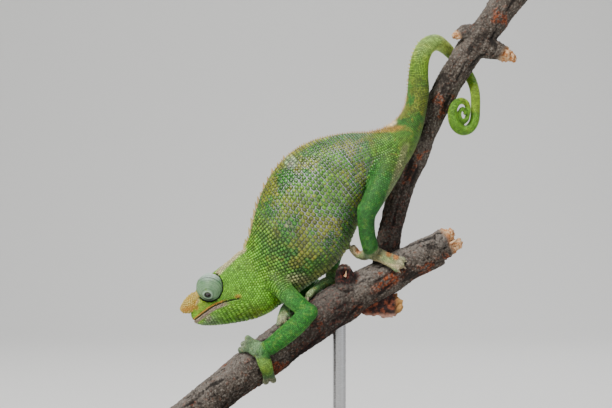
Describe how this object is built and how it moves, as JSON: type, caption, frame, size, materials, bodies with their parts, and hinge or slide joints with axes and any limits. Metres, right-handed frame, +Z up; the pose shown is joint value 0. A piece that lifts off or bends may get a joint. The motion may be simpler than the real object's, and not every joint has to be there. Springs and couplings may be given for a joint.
{
  "type": "chameleon model",
  "caption": "Life-size still model of a horned chameleon climbing head down on a forked branch, tail coiled, held up by a plain oval display stand.",
  "frame": {"origin": "centre of the stand's underside, on the surface it stands on", "axes": "+X from the snout towards the tail and the branch's broken end, +Y to the animal's right side, away from a viewer who sees its left side, +Z up"},
  "size_m": [0.1737, 0.092, 0.2261],
  "materials": {
    "skin": "dry scaly skin, green with yellow-green and lilac-grey",
    "horn": "pale cream horn, satin",
    "eye": "wet black-brown eye",
    "bark": "dry grey-brown bark, rough",
    "stand": "black stained wood, satin",
    "rod": "brushed steel"
  },
  "bodies": {
    "root": {"head": "skin", "neck": "skin", "torso": "skin", "tail_base": "skin", "tail_arch": "skin", "tail_coil": "skin", "eye_turret_left": "skin", "eye_turret_right": "skin", "upper_arm_left": "skin", "upper_arm_right": "skin", "forearm_left": "skin", "forearm_right": "skin", "hand_left": "skin", "hand_right": "skin", "thigh_left": "skin", "thigh_right": "skin", "shank_left": "skin", "shank_right": "skin", "foot_left": "skin", "foot_right": "skin", "eyeball_left": "eye", "eyeball_right": "eye", "horn_left": "horn", "horn_right": "horn", "perch_branch": "bark", "perch_stem": "bark", "stand_base": "stand", "stand_rod": "rod"}
  },
  "joints": []
}
